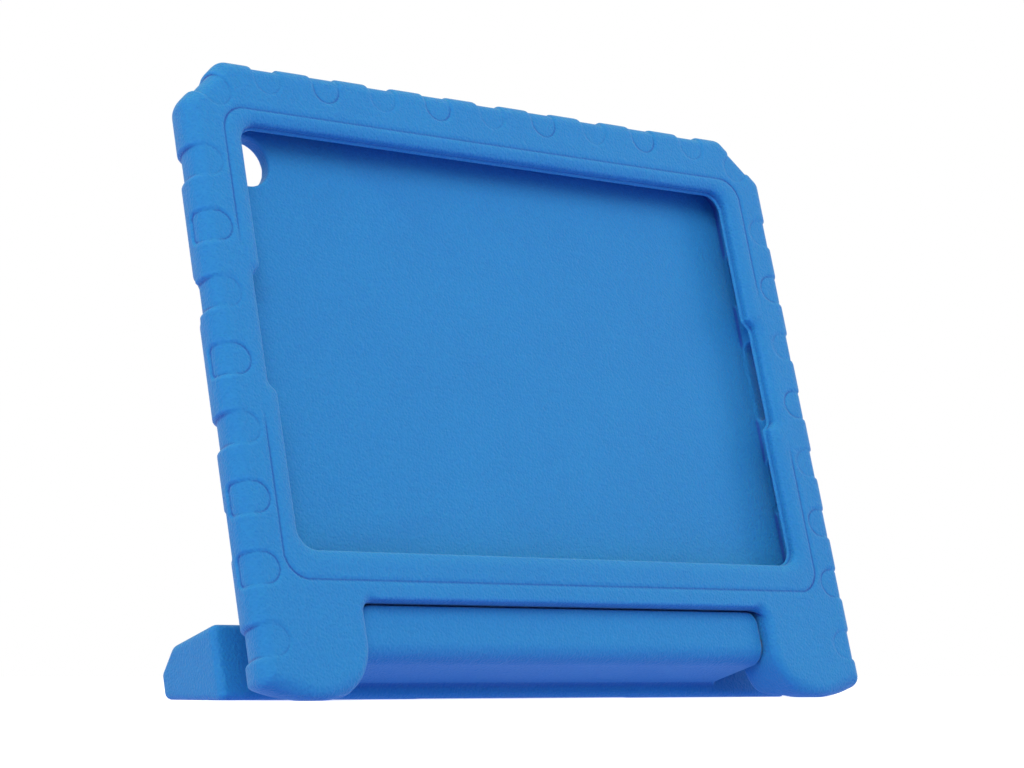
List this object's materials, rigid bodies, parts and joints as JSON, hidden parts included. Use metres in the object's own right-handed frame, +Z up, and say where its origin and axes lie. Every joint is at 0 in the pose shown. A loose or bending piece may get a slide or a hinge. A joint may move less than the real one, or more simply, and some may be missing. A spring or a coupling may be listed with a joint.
{
  "type": "tablet case",
  "caption": "Thick foam case for a tablet, with grip scoops round its edge and a hinged handle that folds back as a stand.",
  "frame": {"origin": "on the floor, under the middle of the whole case as it stands on its folded-back handle", "axes": "+X to the right of the screen and along the hinge, +Y to the back, +Z up; the panel leans back 15.25 degrees"},
  "size_m": [0.286, 0.0836, 0.2373],
  "materials": {
    "shell_foam": "matt moulded foam skin with a fine pebble grain, bright mid blue",
    "handle_foam": "matt moulded foam skin with a fine pebble grain, bright mid blue",
    "core_nylon": "moulded nylon, dull grey",
    "pin_steel": "turned steel",
    "socket_nylon": "moulded nylon, dull grey",
    "washer_rubber": "dull black rubber"
  },
  "bodies": {
    "handle": {"foam_handle": "handle_foam", "handle_core_bar": "core_nylon", "pivot_pin_left": "pin_steel", "pivot_pin_right": "pin_steel", "friction_washer_left": "washer_rubber", "friction_washer_right": "washer_rubber"},
    "case": {"foam_shell": "shell_foam", "pivot_socket_left": "socket_nylon", "pivot_socket_right": "socket_nylon"}
  },
  "joints": [
    {"name": "handle_hinge", "type": "hinge", "parent": "handle", "child": "case", "pos_m": [0, -0.02312, 0.01994], "axis": [1, 0, 0], "range_deg": [0, 90]}
  ]
}
